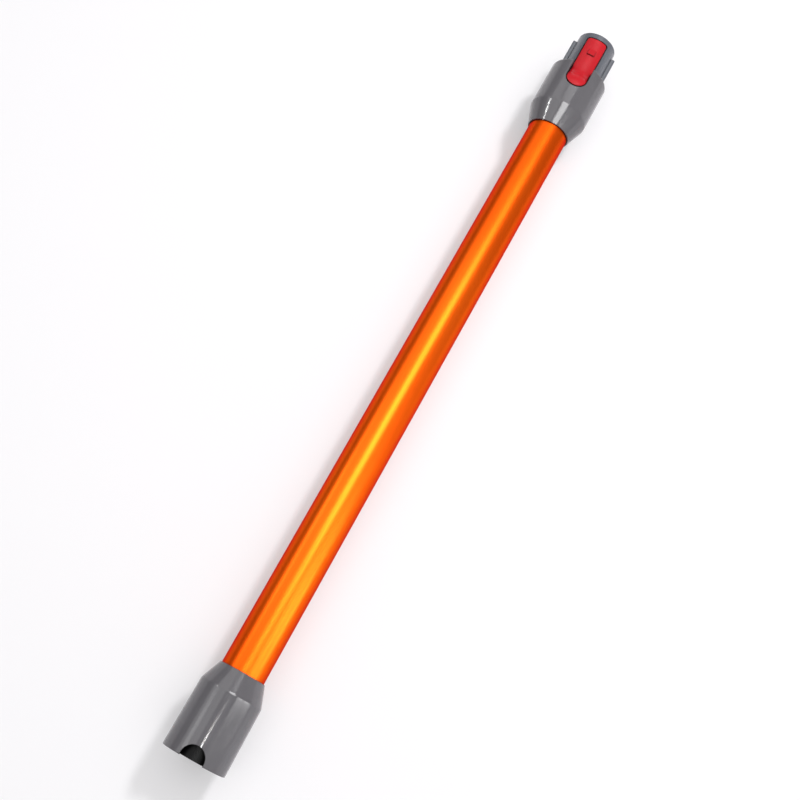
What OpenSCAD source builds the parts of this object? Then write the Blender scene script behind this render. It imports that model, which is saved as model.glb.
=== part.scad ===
// Extension wand of a stick vacuum cleaner.
// X runs along the airway from the rim of the tool socket (0) to the tip of the nose, and
// Z points up, out of the release button. The wand lies on the flat keels under its two ends.

/* [Overall] */
// Length from the rim of the socket to the tip of the nose
wand_len = 730; // [500:1:1000]

/* [Tube] */
// Outside diameter of the aluminium tube
tube_d = 37.5; // [32:0.5:45]
// Wall of the aluminium tube
tube_wall = 1; // [0.8:0.1:1.5]

/* [Lower sleeve] */
// Length of the sleeve from its rim to its lip on the tube
sleeve_len = 73.8; // [64:0.1:95]
// Length of the sleeve's cone
sleeve_cone = 17.2; // [12:0.1:22]
// How much wider the sleeve is, in radius, at its rim than at the foot of its cone
sleeve_flare = 0.5; // [0:0.1:1]
// Radius on the edge of the rim
rim_round = 0.6; // [0.3:0.1:1]
// Radius of the round notch in the rim
notch_r = 10; // [7:0.1:12]
// Depth of the notch from the rim
notch_depth = 12; // [8:0.1:14]

/* [Upper collar] */
// Length of the collar from its lip on the tube to the shoulder
collar_len = 66.3; // [61:0.1:90]
// Length of the collar's cone
collar_cone = 20; // [14:0.1:24]
// Radius on the collar's shoulder edge
shoulder_round = 2; // [1:0.1:2]

/* [Both covers] */
// Wall of the moulded covers
skin_wall = 2.2; // [1.8:0.1:2.6]
// Wall of the lip where a cover meets the tube
lip_wall = 0.95; // [0.7:0.05:1.2]
// Rounding where a cone turns into its cylinder
crease_round = 5; // [2:0.5:8]
// Room between the rail channels and the covers
cover_spare = 0.65; // [0.4:0.05:2]
// Radius on the two bottom edges of a keel
keel_corner = 5; // [4:0.1:7]
// Radius in the hollow where a keel meets the round body
keel_fillet = 5; // [2:0.5:8]
// Length of a keel's sloped tail
keel_tail = 22; // [18:0.5:30]
// Width of a keel's tail where it ends at the tube
keel_tail_w = 14; // [10:0.5:20]

/* [Nose] */
// Length of the nose beyond the shoulder
nose_len = 40.5; // [37:0.1:48]
// Outside diameter of the nose
nose_d = 37; // [34:0.1:42]
// Diameter of the airway through the nose
nose_bore_d = 32; // [28:0.1:33]
// Extra radius of the nose at the shoulder, so that it comes out of its mould
nose_draft = 0.1; // [0.02:0.01:0.2]
// Length of the cylindrical land at the tip of the nose
land_len = 3; // [2:0.1:4]
// Radius on the tip of the nose
tip_round = 1.4; // [0.8:0.1:2]
// How far the side rails stand out of the nose
rail_proud = 3.2; // [2:0.1:4]
// Height of a side rail
rail_h = 8; // [5:0.1:12]
// Length of the side rails
rail_len = 32.5; // [20:0.1:34]
// Radius on the long outer edges of the rails
rail_round = 1.2; // [0.4:0.1:2]

/* [Release button] */
// Width of the button
button_w = 19.8; // [18:0.1:23]
// Length of the button
button_len = 60.4; // [56:0.1:70]
// Ring of nose left ahead of the button
button_front_ring = 6.1; // [4.6:0.1:8]
// Radius on the button's two front corners
button_corner = 2.5; // [1:0.1:4]
// Length of the ramp between the collar's skin and the nose's
ramp_len = 22; // [18:0.1:23]
// How far behind the shoulder the ramp ends
ramp_behind = 0.5; // [0.4:0.1:2]
// Room at the button's two long sides and its front
button_gap = 0.35; // [0.3:0.05:0.6]
// Room behind the button's round end, which swings back as it is pressed
button_rear_gap = 1; // [0.9:0.1:1.6]
// Travel of the button's pivot, in degrees
press_angle = 4; // [3:0.1:4.2]
// Radius of the button's pivot stubs
pivot_r = 1; // [0.8:0.05:1.2]
// Height of the latch tooth above the nose
tooth_h = 1.15; // [0.8:0.05:1.4]
// Width of the latch tooth
tooth_w = 7; // [4:0.1:9]
// Distance of the tooth's locking face from the shoulder
tooth_reach = 15.7; // [14:0.1:18]

/* [Tool socket] */
// Wall of the liner's socket
liner_wall = 2; // [1.6:0.1:2.4]
// How far the liner's face lies behind the rim
liner_recess = 0.4; // [0.2:0.1:0.5]
// Thickness of the socket's rubber seal
seal_t = 1.8; // [1.2:0.1:2.4]
// Thickness of the flat gaskets at the ends of the tube
gasket_t = 1.2; // [0.8:0.1:1.6]
// Length of liner that grips the tube
liner_grip = 18; // [14:0.5:19]

/* [Contacts] */
// Distance between the two contacts
contact_pitch = 10.8; // [9:0.1:12]
// Depth of the contacts' axes below the skin of the nose
contact_drop = 7.7; // [7.5:0.1:9]
// Radius of a contact pin
pin_r = 1.2; // [0.8:0.05:1.3]
// Length of a contact pin beyond its carrier
pin_reach = 9.8; // [8:0.1:10.5]
// Length of the shroud under the nose
shroud_len = 11.5; // [9:0.1:11.6]
// Width of the key between the two contacts
key_w = 3.2; // [2:0.1:3.6]
// Length of the key ahead of its block
key_len = 7.4; // [5:0.1:8]
// Radius of an insulated lead
lead_r = 1.2; // [0.8:0.05:1.3]
// Radius of a lead's bends
lead_bend = 6.5; // [5.8:0.1:8]

/* [Fits] */
// Radial room between a nose and a socket
slide_gap = 0.2; // [0.1:0.05:0.4]
// Radial room round the side rails and the shroud in a socket
channel_gap = 0.4; // [0.3:0.05:0.6]
// Radial room between the tube and the mouldings that hold it
tube_fit = 0.05; // [0.02:0.01:0.1]
// Room between a moulding and the cover or pocket that it is pushed into
push_fit = 0.1; // [0.05:0.01:0.15]
// Radial room of the pivot stubs
pivot_fit = 0.05; // [0.02:0.01:0.1]
// Radial gap between the tube and the sleeve's lip
sleeve_lip_gap = 0.2; // [0.1:0.05:0.4]
// Radial gap between the tube and the collar's lip
collar_lip_gap = 0.4; // [0.2:0.05:0.6]

/* [Hidden] */
$fn = 96;
// Overlap that makes a cut run clear through a face
cut = 1;

// Radii that the fits are worked out from
tube_r = tube_d / 2;
tube_in_r = tube_r - tube_wall;
nose_r = nose_d / 2;
nose_in_r = nose_bore_d / 2;
air_r = min(nose_in_r, tube_in_r) + 0.6;
socket_r = nose_r + slide_gap;
liner_r = socket_r + liner_wall;
grip_r = tube_r + tube_fit;
grip_out_r = grip_r + liner_wall;

// Rail channels of the socket, and the covers that have to clear them
rail_out = nose_r + rail_proud;
channel_wall = 1.5;
channel_out = rail_out + channel_gap + channel_wall;
channel_half = rail_h / 2 + channel_gap + channel_wall;
cover_in_r = max(norm([channel_out, channel_half]), grip_out_r) + cover_spare;
cover_r = cover_in_r + skin_wall;

// Contact shroud, the recess that takes it and the keels round both
shroud_wall = 1.5;
shroud_half = contact_pitch / 2 + 5;
contact_z = -(nose_r + contact_drop);
shroud_drop = -contact_z + 4.8;
recess_half = shroud_half + channel_gap;
recess_drop = shroud_drop + channel_gap;
recess_wall = 1.2;
shroud_round = 1.5;
recess_round = shroud_round + channel_gap;
keel_half = recess_half + recess_wall + push_fit + skin_wall;
keel_drop = recess_drop + recess_wall + push_fit + skin_wall;

// Places along the wand, from the rim
collar_x = wand_len - nose_len - collar_len;
shoulder_x = wand_len - nose_len;
land_x = wand_len - tip_round - land_len;
button_front_x = wand_len - button_front_ring;
button_rear_x = button_front_x - button_len;
ramp_front_x = shoulder_x - ramp_behind;
ramp_rear_x = ramp_front_x - ramp_len;
seal_x = nose_len + 0.1;
stop_x = seal_x + seal_t;
stop_t = 1.8;
lower_gasket_x = stop_x + stop_t;
tube_x0 = lower_gasket_x + gasket_t;
block_x0 = notch_depth;
block_len = 16;
block_x1 = block_x0 + block_len;
flange_t = 2;

// Places in the collar: the button's tail needs the stop wall to lie behind its swing
tail_lip = 2.4;
seat_x = button_rear_x - tail_lip - 1.6;
seat_t = 1.8;
upper_gasket_x = seat_x - seat_t - gasket_t;
tube_x1 = upper_gasket_x;
grip_x = max(tube_x1 - 23, collar_x + 10.8);

// Height steps of the latch pocket, from the nose's skin down
plate_under = nose_r - 4.5;
pivot_z = plate_under - 2;
pivot_x = button_front_x - 3.2;
well_floor = pivot_z - 2;
well_wall = 1.2;
spring_x = button_rear_x + 4.8;
spring_r = 2.9;
spring_wire = 0.25;
well_rear_x = spring_x + 4.6;
duct_r = nose_in_r + 1.6;
pad_top = duct_r + 0.2;
rear_under = cover_r - 3.8;
pocket_wall = 1.25;
stub_half = button_w / 2 - 0.2;
stub_bed = 2.5;

// Leads: heights in the keels and in the channel, and where the bends lie
channel_z = -(tube_in_r - 2.85);
bend_turn = acos(1 - (channel_z - contact_z) / (2 * lead_bend));
bend_len = 2 * lead_bend * sin(bend_turn);
slot_len = 14;
slot_half = contact_pitch / 2 + lead_r + 0.6;
lower_bend_x = tube_x0 - 2.3;
upper_bend_x = tube_x1 + 2.3;

// Screws that hold the tube
screw_r = 0.95;
screw_head_r = 1.9;
screw_head_t = 1.1;
lower_screw_x = tube_x0 + 9.2;
upper_screw_x = tube_x1 - 9;

// Ribs that carry the sleeve, at angles counted from +Y towards +Z
rib_t = 1.4;
liner_ribs = [40, 140];

cover_grey = "dimgray";
metal = "silver";

// Solid and hollow cylinders along the wand
module rod(x0, x1, r) {
    translate([x0, 0, 0]) rotate([0, 90, 0]) cylinder(h = x1 - x0, r = r);
}

module ring(x0, x1, r_out, r_in) {
    difference() {
        rod(x0, x1, r_out);
        rod(x0 - cut, x1 + cut, r_in);
    }
}

module taper(x0, x1, r0, r1) {
    translate([x0, 0, 0]) rotate([0, 90, 0]) cylinder(h = x1 - x0, r1 = r0, r2 = r1);
}

// Turns a [radius, x] profile round the wand's axis
module turned() {
    rotate([0, 90, 0]) rotate_extrude() children();
}

// Draws a [y, z] section from x0 to x1
module along(x0, x1) {
    translate([x0, 0, 0]) rotate([90, 0, 90]) linear_extrude(x1 - x0) children();
}

// Draws an [x, z] profile across the wand
module across(width) {
    rotate([90, 0, 0]) linear_extrude(width, center = true) children();
}

// A block from two corners
module block(low, high) {
    translate(low) cube(high - low);
}

// All that lies within half0 of the middle plane up to x0, and narrows from there to half1 at x1
module plan(half0, x0, half1, x1) {
    translate([0, 0, -2 * keel_drop]) linear_extrude(2 * keel_drop)
        polygon([[-cut, -half0], [x0, -half0], [x1, -half1], [x1, half1], [x0, half0], [-cut, half0]]);
}

// Leaves only what lies above the height z
module above(z) {
    intersection() {
        children();
        block([-cut, -100, z], [wand_len + cut, 100, 100]);
    }
}

// A rectangle with round corners of radius r, from two corners
module round_rect(low, high, r) {
    translate([low[0] + r, low[1]]) square([high[0] - low[0] - 2 * r, high[1] - low[1]]);
    translate([low[0], low[1] + r]) square([high[0] - low[0], high[1] - low[1] - 2 * r]);
    for (x = [low[0] + r, high[0] - r], y = [low[1] + r, high[1] - r]) translate([x, y]) circle(r);
}

// Section of a keel, inset for the cavity and for what fills its mouth
module keel_section(inset) {
    half = keel_half - inset;
    drop = keel_drop - inset;
    r = keel_corner - inset;
    translate([-half, -drop + r]) square([2 * half, drop - r]);
    translate([-half + r, -drop]) square([2 * (half - r), drop]);
    for (side = [-1, 1]) translate([side * (half - r), -drop + r]) circle(r);
}

// Hollow blend between a keel's sides and the round body of radius r
module keel_blend(r) {
    cy = keel_half + keel_fillet;
    cz = -sqrt((r + keel_fillet) ^ 2 - cy ^ 2);
    touch = r / (r + keel_fillet);
    for (side = [-1, 1]) difference() {
        polygon([[side * (keel_half - 1), cz], [side * cy, cz], [side * cy * touch, cz * touch],
            [side * (keel_half - 1), cz * touch]]);
        translate([side * cy, cz]) circle(keel_fillet);
    }
}

// Both covers are one kind of shell: open at its mouth (x = 0), with a cone down to the tube.
// crease is the x of the cone's foot, len that of the lip.
module cover_shell(len, crease, mouth_r, edge_r, lip_gap) {
    crease_r = mouth_r - (mouth_r > cover_r ? sleeve_flare : 0);
    lip_r = tube_r + lip_gap + lip_wall;
    turn = atan((crease_r - lip_r) / (len - crease));
    back = crease_round * tan(turn / 2);
    wall_along = skin_wall / cos(turn);
    slope = tan(turn);
    in_crease = crease - skin_wall * tan(turn / 2);
    neck_x = len - (wall_along - lip_wall) / slope;
    tail_x = len - keel_tail;

    // The tail rises to the lip, and narrows on its way: the cavity follows at the skin's thickness
    rise = (keel_drop - lip_r) / keel_tail;
    narrowing = (keel_half - keel_tail_w / 2) / keel_tail;
    cavity_floor = -(keel_drop - skin_wall);
    cavity_tail_x = tail_x - skin_wall * (norm([1, rise]) - 1) / rise;
    cavity_top = cavity_floor + (neck_x - cavity_tail_x) * rise;
    cavity_half = keel_half - skin_wall;
    cavity_narrow_x = tail_x - skin_wall * (norm([1, narrowing]) - 1) / narrowing;
    cavity_neck_half = cavity_half - (neck_x - cavity_narrow_x) * narrowing;
    blend_x = crease - back;

    difference() {
        union() {
            turned() {
                polygon([[0, 0], [mouth_r - edge_r, 0], [mouth_r - edge_r, edge_r], [mouth_r, edge_r],
                    [crease_r, crease - back],
                    [crease_r - crease_round * (1 - cos(turn)), crease - back + crease_round * sin(turn)],
                    [lip_r, len], [0, len]]);
                translate([mouth_r - edge_r, edge_r]) circle(edge_r);
                intersection() {
                    translate([crease_r - crease_round, crease - back]) circle(crease_round);
                    translate([crease_r - crease_round, crease - back])
                        square([2 * crease_round, crease_round * sin(turn)]);
                }
            }
            intersection() {
                union() {
                    along(0, len) keel_section(0);
                    intersection() {
                        along(0, blend_x) keel_blend(crease_r);
                        plan(keel_half + keel_fillet, blend_x - 3 * keel_fillet, keel_half - 0.1, blend_x);
                    }
                }
                plan(keel_half + keel_fillet, tail_x - keel_fillet / narrowing, keel_tail_w / 2, len);
                across(3 * keel_half) {
                    polygon([[edge_r, 0], [edge_r, -keel_drop], [tail_x, -keel_drop], [len, -lip_r], [len, 0]]);
                    translate([0, -keel_drop + edge_r]) square([2 * edge_r, keel_drop - edge_r]);
                    translate([edge_r, -keel_drop + edge_r]) circle(edge_r);
                }
            }
        }
        turned() polygon([[0, -cut], [mouth_r - skin_wall, -cut], [mouth_r - skin_wall, 0],
            [crease_r - skin_wall, in_crease], [tube_r + lip_gap, neck_x], [tube_r + lip_gap, len + cut],
            [0, len + cut]]);
        intersection() {
            along(-cut, neck_x) keel_section(skin_wall);
            plan(cavity_half, cavity_narrow_x, cavity_neck_half, neck_x);
            across(3 * keel_half) polygon([[-cut, 0], [-cut, cavity_floor], [cavity_tail_x, cavity_floor],
                [neck_x, cavity_top], [neck_x, 0]]);
        }
    }
}

// What closes a cover's mouth: the cover's cavity less the room that it is pushed in with
module mouth_plate(x0, x1, mouth_in_r) {
    along(x0, x1) {
        circle(mouth_in_r - push_fit);
        keel_section(skin_wall + push_fit);
    }
}

// Bead round a mouth plate, and with grow the groove that it snaps into
bead_h = 0.3;
bead_t = 0.8;
module snap_bead(x, mouth_in_r, grow) {
    above(0) ring(x - grow, x + bead_t + grow, mouth_in_r - push_fit + bead_h + grow, mouth_in_r - cut);
}

// Plan of the button, grown for its pocket
module button_plan(gap, rear_gap) {
    half = button_w / 2 + gap;
    x1 = button_front_x + gap;
    x_round = button_rear_x + button_w / 2 - rear_gap + gap;
    r = button_corner;
    translate([x_round, -half]) square([x1 - r - x_round, 2 * half]);
    translate([x1 - 2 * r, -half + r]) square([2 * r, 2 * (half - r)]);
    translate([x_round, 0]) circle(half);
    for (side = [-1, 1]) translate([x1 - r, side * (half - r)]) circle(r);
}

// Flat ribs from r_in out to r_out, at angles counted from +Y towards +Z
module ribs(angles, x0, x1, r_in, r_out) {
    for (a = angles) rotate([a, 0, 0]) block([x0, r_in, -rib_t / 2], [x1, r_out, rib_t / 2]);
}

// Two leads, screws or contacts, left (+Y) and right (-Y)
module contact_at(side) {
    translate([0, side * contact_pitch / 2, contact_z]) children();
}

// Self-tapping screws through the grip of a moulding into the tube, on both sides
module tube_screws(x) {
    color(metal) for (side = [-1, 1]) translate([x, side * screw_seat, 0]) rotate([-side * 90, 0, 0]) {
        cylinder(h = screw_head_t, r = screw_head_r);
        translate([0, 0, -screw_len]) cylinder(h = screw_len + screw_head_t / 2, r = screw_r);
    }
}
screw_seat = grip_out_r - 0.6;
screw_len = 3.4;

// Holes and flats for those screws in a moulding's grip
module screw_holes(x, r) {
    for (side = [-1, 1]) translate([x, 0, 0]) rotate([-side * 90, 0, 0]) {
        cylinder(h = 2 * grip_out_r, r = r);
        translate([0, 0, screw_seat]) cylinder(h = grip_out_r, r = screw_head_r + 0.2);
    }
}

module outer_tube() {
    color("darkorange") difference() {
        ring(tube_x0, tube_x1, tube_r, tube_in_r);
        for (x = [tube_x0 - cut, tube_x1 - slot_len])
            block([x, -slot_half, -tube_r - cut], [x + slot_len + cut, slot_half, channel_z]);
        for (x = [lower_screw_x, upper_screw_x], side = [-1, 1]) translate([x, 0, 0])
            rotate([-side * 90, 0, 0]) cylinder(h = tube_d, r = screw_r + 0.05);
    }
}

// Channel-shaped strip on the floor of the tube, with the two leads under it
module wire_cover() {
    half = slot_half + 1.2;
    roof = channel_z + lead_r + 0.3;
    color("dimgray") along(tube_x0 + 1.5, tube_x1 - 1.5) intersection() {
        difference() {
            translate([-half, -tube_r]) square([2 * half, roof + 1.2 + tube_r]);
            translate([-slot_half, -tube_r - cut]) square([2 * slot_half, roof + tube_r + cut]);
        }
        circle(tube_in_r - tube_fit);
    }
}

// One S-bend of a lead, from the keel's height at x = 0 up to the channel's. The arcs are a hair
// thinner than the straights that they run into.
module lead_s_bend() {
    $fn = 32;
    lap = 3;
    for (end = [0, 1]) translate([end * bend_len, 0, end * (channel_z - contact_z - 2 * lead_bend) + lead_bend])
        rotate([90, 0, 0]) rotate([0, 0, end * 180 - 90 - lap])
            rotate_extrude(angle = bend_turn + 2 * lap) translate([lead_bend, 0]) circle(lead_r - 0.02);
    translate([bend_len / 2, 0, (channel_z - contact_z) / 2]) rotate([0, 90 - bend_turn, 0])
        cylinder(h = 0.8, r = lead_r, center = true);
}

// A lead from its clip in the socket, through the channel, to its pin under the nose
module lead(side) {
    contact_at(side) {
        rod(clip_tail_x, lower_bend_x, lead_r);
        translate([lower_bend_x, 0, 0]) lead_s_bend();
        translate([0, 0, channel_z - contact_z]) rod(lower_bend_x + bend_len, upper_bend_x - bend_len, lead_r);
        translate([upper_bend_x, 0, 0]) mirror([1, 0, 0]) lead_s_bend();
        rod(upper_bend_x, pin_tail_x, lead_r);
    }
}

module lead_left() { color("firebrick") lead(1); }
module lead_right() { color("black") lead(-1); }

module lower_sleeve() {
    color(cover_grey) difference() {
        cover_shell(sleeve_len, sleeve_len - sleeve_cone, cover_r + 0.001, rim_round, sleeve_lip_gap);
        rim_notch();
        snap_bead(liner_recess + 0.6, cover_in_r, 0.1);
    }
}

// Round notch in the sleeve, where a thumb gets at the end of the next part's button
module rim_notch() {
    translate([notch_depth - notch_r, 0, 0]) cylinder(h = 2 * cover_r, r = notch_r);
}

module socket_liner() {
    bulkhead_x = rail_len + 4;
    recess_back = block_x1 + 2;
    color("black") difference() {
        union() {
            rod(liner_recess, lower_gasket_x, liner_r);
            rod(stop_x - 2, tube_x0 + liner_grip, grip_out_r);
            mouth_plate(liner_recess, liner_recess + flange_t, cover_in_r);
            snap_bead(liner_recess + 0.6, cover_in_r, 0);
            along(liner_recess, rail_len + 3) translate([-channel_out, -channel_half])
                square([2 * channel_out, 2 * channel_half]);
            along(liner_recess, recess_back) difference() {
                keel_section(skin_wall + push_fit);
                translate([-cover_r, -socket_r / 2]) square(2 * cover_r);
            }
            above(-liner_r + 2) rod(bulkhead_x, bulkhead_x + flange_t, bulkhead_r);
            ribs(liner_ribs, liner_recess, bulkhead_x + cut, liner_r - 1, bulkhead_r - push_fit);
        }
        rod(-cut, seal_x, socket_r);
        rod(seal_x - 0.001, stop_x, socket_r + 0.7);
        rod(stop_x - cut, lower_gasket_x + cut, air_r);
        rod(lower_gasket_x, sleeve_len, grip_r);
        along(-cut, rail_len + channel_gap) round_rect([-rail_out - channel_gap, -rail_h / 2 - channel_gap],
            [rail_out + channel_gap, rail_h / 2 + channel_gap], rail_round);
        along(-cut, block_x0)
            round_rect([-recess_half, -recess_drop], [recess_half, -socket_r / 2], recess_round);
        along(block_x0 - cut, recess_back + cut)
            round_rect([-recess_half, -recess_drop], [recess_half, -block_top], recess_round);
        difference() {
            rim_notch();
            rod(-2 * cut, notch_depth + cut, liner_r);
        }
        keeper_window();
        block([tube_x0, -slot_half, -tube_r - 3 * cut], [tube_x0 + slot_len, slot_half, -tube_r / 2]);
        screw_holes(lower_screw_x, screw_r + 0.15);
    }
}
bulkhead_r = cover_in_r - sleeve_flare - push_fit;
block_top = liner_r + 0.15;

// Window in the roof of the socket that the next button's tooth snaps into
module keeper_window() {
    block([tooth_reach - 0.4, -tooth_w / 2 - 1, 0], [tooth_reach + 7.6, tooth_w / 2 + 1, liner_r + cut]);
}

module socket_seal() {
    color([0.12, 0.12, 0.12]) ring(seal_x, stop_x, socket_r + 0.65, air_r + 0.3);
}

module gasket(x) {
    color([0.12, 0.12, 0.12]) ring(x, x + gasket_t, grip_r - tube_fit / 2, air_r + 0.2);
}

module lower_gasket() { gasket(lower_gasket_x); }
module upper_gasket() { gasket(upper_gasket_x); }

module lower_screws() { tube_screws(lower_screw_x); }
module upper_screws() { tube_screws(upper_screw_x); }

// Grey block at the floor of the socket: the key shows through the notch, the contacts lie beside it
module contact_receptacle() {
    half = recess_half - push_fit;
    floor_z = -recess_drop + push_fit;
    color("gray") difference() {
        union() {
            along(block_x0, block_x1)
                round_rect([-half, floor_z], [half, -block_top - push_fit], recess_round);
            block([block_x0 - key_len, -key_w / 2, floor_z], [block_x0 + cut, key_w / 2, -block_top - 1.5]);
        }
        for (side = [-1, 1]) contact_at(side) {
            rod(block_x0 - cut, block_x1, pin_r + 0.3);
            rod(block_x0 + 1.2, block_x1 + cut, clip_out_r + push_fit);
        }
        // Mark that the ejector leaves on the key
        translate([block_x0 - key_len / 2, 0, -block_top - 1.9]) cylinder(h = cut, r = 0.7);
    }
}
clip_out_r = pin_r + 0.65;
clip_x = block_x0 + 1.4;
clip_tail_x = block_x1 + 2.5;

module contact_clip(side) {
    color("gold") contact_at(side) difference() {
        union() {
            rod(clip_x, block_x1 - 2, clip_out_r);
            rod(block_x1 - 3, clip_tail_x, lead_r + 0.3);
        }
        rod(clip_x - cut, clip_x + pin_reach + 1.2, pin_r + 0.1);
    }
}

module contact_clip_left() { contact_clip(1); }
module contact_clip_right() { contact_clip(-1); }

module upper_collar() {
    color(cover_grey) difference() {
        translate([shoulder_x, 0, 0]) mirror([1, 0, 0])
            cover_shell(collar_len, collar_len - collar_cone, cover_r, shoulder_round, collar_lip_gap);
        linear_extrude(2 * cover_r) button_plan(button_gap, button_rear_gap);
        translate([2 * shoulder_x, 0, 0]) mirror([1, 0, 0]) translate([shoulder_x, 0, 0])
            snap_bead(bead_back, cover_in_r, 0.1);
    }
}
bead_back = 1;

// Pocket that the button sinks into: wide under its plate, narrow between the pivot's beds
module latch_pocket() {
    half = button_w / 2 + button_gap;
    bed_x = pivot_x - 3.5;
    intersection() {
        linear_extrude(2 * cover_r) button_plan(button_gap, button_rear_gap);
        block([well_rear_x, -half - cut, plate_under - 0.6], [wand_len, half + cut, 2 * cover_r]);
    }
    block([well_rear_x, -half, well_floor], [bed_x, half, cover_r]);
    block([bed_x - cut, -half + stub_bed, well_floor], [button_front_x + button_gap, half - stub_bed, cover_r]);
    translate([pivot_x, 0, pivot_z]) rotate([90, 0, 0])
        cylinder(h = 2 * (stub_half + 0.3), r = pivot_r + pivot_fit, center = true);
}

module nose_connector() {
    wall_half = button_w / 2 + button_gap + pocket_wall;
    hump_front = button_front_x + button_gap + 1.6;
    color(cover_grey) difference() {
        union() {
            difference() {
                union() {
                    nose_body();
                    rod(seat_x - seat_t, shoulder_x, duct_r);
                    rod(grip_x, seat_x, grip_out_r);
                }
                rod(seat_x - seat_t - cut, wand_len + cut, nose_in_r);
                rod(grip_x - cut, seat_x - seat_t, grip_r);
            }
            // Plate that closes the collar's mouth
            difference() {
                union() {
                    mouth_plate(shoulder_x - flange_t, shoulder_x, cover_in_r);
                    snap_bead(shoulder_x - bead_back - bead_t, cover_in_r, 0);
                }
                rod(shoulder_x - 2 * flange_t, shoulder_x + cut, nose_in_r + 0.5);
            }
            // Walls of the latch pocket: a hump in the airway under the nose, two cheeks in the collar
            intersection() {
                rod(well_rear_x - well_wall, hump_front, nose_in_r + 0.5);
                block([0, -wall_half, well_floor - well_wall], [wand_len, wall_half, nose_r]);
            }
            intersection() {
                ring(button_rear_x - button_rear_gap, shoulder_x - cut, cover_in_r - push_fit, nose_in_r + 0.5);
                for (side = [-1, 1]) scale([1, side, 1])
                    block([0, wall_half - pocket_wall, nose_in_r / 2], [wand_len, wall_half, cover_r]);
            }
            intersection() {
                ring(well_rear_x - well_wall, well_rear_x, duct_r, nose_in_r / 2);
                block([0, -wall_half, well_floor], [wand_len, wall_half, cover_r]);
            }
            intersection() {
                block([spring_x - 4, -4, nose_in_r + 0.5], [spring_x + 4, 4, pad_top]);
                rod(0, wand_len, cover_r);
            }
            spring_boss(pad_top);
            side_rails();
            contact_shroud();
        }
        latch_pocket();
        carrier_bay();
        block([tube_x1 - slot_len, -slot_half, -2 * tube_r], [tube_x1 + cut / 2, slot_half, -tube_r / 2]);
        screw_holes(upper_screw_x, screw_r + 0.15);
    }
}

// Outside of the nose: drafted body, cylindrical land and round tip
module nose_body() {
    taper(shoulder_x - cut, land_x, nose_r + nose_draft, nose_r + 0.01);
    rod(land_x - 0.001, land_x + land_len, nose_r);
    turned() {
        translate([0, land_x]) square([nose_r - tip_round, wand_len - land_x]);
        intersection() {
            translate([nose_r - tip_round, wand_len - tip_round]) circle(tip_round);
            translate([0, wand_len - tip_round]) square([nose_r, tip_round]);
        }
    }
}

// Rails that key the nose against turning in its socket
module side_rails() {
    difference() {
        along(shoulder_x - cut, shoulder_x + rail_len)
            round_rect([-rail_out, -rail_h / 2], [rail_out, rail_h / 2], rail_round);
        rod(0, wand_len + cut, nose_in_r + 1);
    }
}

// Box under the nose that guards the feet of the contact pins
module contact_shroud() {
    difference() {
        along(shoulder_x - flange_t, shoulder_x + shroud_len)
            round_rect([-shroud_half, -shroud_drop], [shroud_half, -nose_in_r / 2], shroud_round);
        rod(0, wand_len + cut, nose_in_r + 1);
    }
}

// Room for the pin carrier, from behind, and the slot that straddles the next socket's key
module carrier_bay() {
    bay = shroud_half - shroud_wall;
    block([shoulder_x - 3 * flange_t, -bay, -shroud_drop + shroud_wall],
        [shoulder_x + shroud_len + cut, bay, -bay_top]);
    key_slot();
}
bay_top = nose_r + nose_draft + 1.6;

module key_slot() {
    block([shoulder_x + block_x0 - key_len - 0.4, -key_w / 2 - 0.3, -keel_drop],
        [shoulder_x + block_x0, key_w / 2 + 0.3, -block_top - 1]);
}

module pin_carrier() {
    half = shroud_half - shroud_wall - push_fit;
    low = -shroud_drop + shroud_wall + push_fit;
    color("black") difference() {
        union() {
            block([shoulder_x - 11, -half, low], [carrier_front, half, -bay_top - push_fit]);
            block([shoulder_x - 2 * flange_t, -half - 1.3, low - 1.3],
                [shoulder_x - flange_t, half + 1.3, -bay_top - push_fit]);
        }
        key_slot();
        for (side = [-1, 1]) contact_at(side) rod(shoulder_x - 12, carrier_front + cut, pin_foot_r + push_fit / 2);
    }
}
carrier_front = shoulder_x + shroud_len - 1;
pin_foot_r = pin_r + 0.4;
pin_tail_x = shoulder_x - 19;

module contact_pin(side) {
    tip = carrier_front + pin_reach;
    color("gold") contact_at(side) {
        rod(pin_tail_x, shoulder_x - 14, lead_r + 0.1);
        rod(shoulder_x - 15, carrier_front, pin_foot_r);
        rod(carrier_front - cut, tip - 1, pin_r);
        taper(tip - 1, tip, pin_r, pin_r / 2);
    }
}

module contact_pin_left() { contact_pin(1); }
module contact_pin_right() { contact_pin(-1); }

// Pin that keeps the spring in place, on the duct and under the button
boss_r = 2.2;
boss_h = 0.7;
module spring_boss(z) {
    translate([spring_x, 0, z - 0.5]) cylinder(h = boss_h + 0.5, r = boss_r);
}

// Skin of the button as a turned profile: nose, hollow arc, round arc, collar
ramp_rise = cover_r - nose_r;
ramp_turn = 2 * atan(ramp_rise / ramp_len);
ramp_r = ramp_len / (2 * sin(ramp_turn));
module ramp_skin() {
    mid_x = ramp_rear_x + ramp_len / 2;
    turned() {
        translate([0, button_rear_x - cut]) square([cover_r, ramp_rear_x - button_rear_x + cut]);
        translate([0, ramp_rear_x - cut]) square([cover_r - ramp_r, ramp_len / 2 + cut]);
        intersection() {
            translate([cover_r - ramp_r, ramp_rear_x]) circle(ramp_r);
            translate([0, ramp_rear_x]) square([cover_r, ramp_len / 2]);
        }
        difference() {
            translate([0, mid_x]) square([nose_r + ramp_rise / 2, ramp_len / 2]);
            translate([nose_r + ramp_r, ramp_front_x]) circle(ramp_r);
        }
    }
}

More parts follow.
